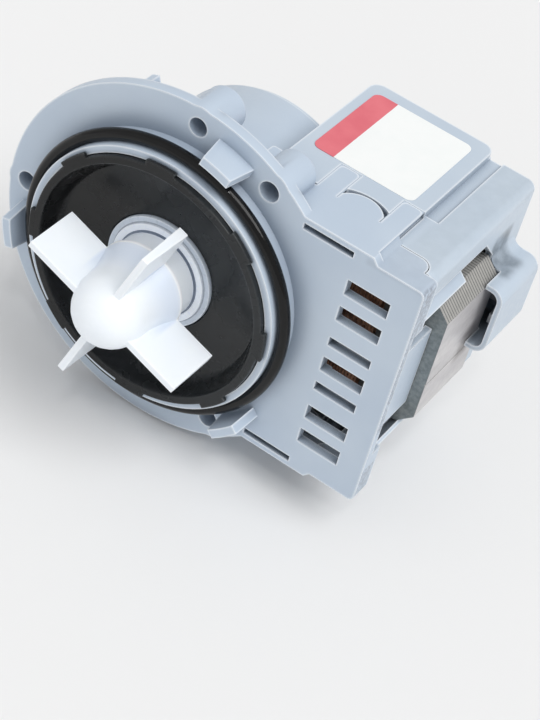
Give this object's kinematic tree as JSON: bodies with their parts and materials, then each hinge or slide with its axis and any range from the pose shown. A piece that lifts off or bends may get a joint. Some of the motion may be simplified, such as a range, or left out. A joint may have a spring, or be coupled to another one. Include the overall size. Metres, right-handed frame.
{
  "type": "washer drain pump",
  "caption": "Drain pump with a round bayonet flange, sealed rotor can, vaned impeller, laminated C-core with wound coils, vented housing, clip-on rear cover and terminal shroud.",
  "frame": {"origin": "on the pump axis at the flange's front face, the middle of the mounting hole circle", "axes": "-Y along the pump axis towards the impeller, +Z to the label side, +X to the vent plate, the coils and the terminals"},
  "size_m": [0.1156, 0.0861, 0.0923],
  "materials": {
    "housing_plastic": "matte moulded",
    "can_plastic": "satin moulded",
    "seal_rubber": "smooth rubber",
    "cap_plastic": "matte moulded",
    "bush_carbon": "machined carbon",
    "core_steel": "punched and stacked",
    "bobbin_plastic": "matte moulded",
    "winding_copper": "enamelled wire",
    "terminal_metal": "tin plated",
    "label_film": "blank printed film",
    "shaft_steel": "ground",
    "magnet_ferrite": "sintered ferrite",
    "impeller_plastic": "smooth moulded"
  },
  "bodies": {
    "housing": {"front_housing": "housing_plastic", "rear_cover": "housing_plastic", "rotor_can": "can_plastic", "o_ring": "seal_rubber", "bearing_cap": "cap_plastic", "shaft_seal": "seal_rubber", "front_bush": "bush_carbon", "front_bush_mount": "seal_rubber", "rear_bush": "bush_carbon", "rear_bush_mount": "seal_rubber", "core_laminations": "core_steel", "upper_bobbin": "bobbin_plastic", "lower_bobbin": "bobbin_plastic", "upper_winding": "winding_copper", "lower_winding": "winding_copper", "upper_terminal": "terminal_metal", "lower_terminal": "terminal_metal", "rating_label": "label_film"},
    "rotor": {"shaft": "shaft_steel", "rotor_magnet": "magnet_ferrite", "rotor_hub": "impeller_plastic", "front_thrust_washer": "shaft_steel", "rear_thrust_washer": "shaft_steel", "drive_dog": "impeller_plastic"},
    "impeller": {"impeller": "impeller_plastic", "hub_cover": "impeller_plastic", "stop_damper": "seal_rubber"}
  },
  "joints": [
    {"name": "rotor_spin", "type": "hinge", "parent": "housing", "child": "rotor", "pos_m": [0, 0, 0], "axis": [0, -1, 0], "continuous": true},
    {"name": "impeller_play", "type": "hinge", "parent": "rotor", "child": "impeller", "pos_m": [0, -0.018, 0], "axis": [0, -1, 0], "range_deg": [-120, 120]}
  ]
}
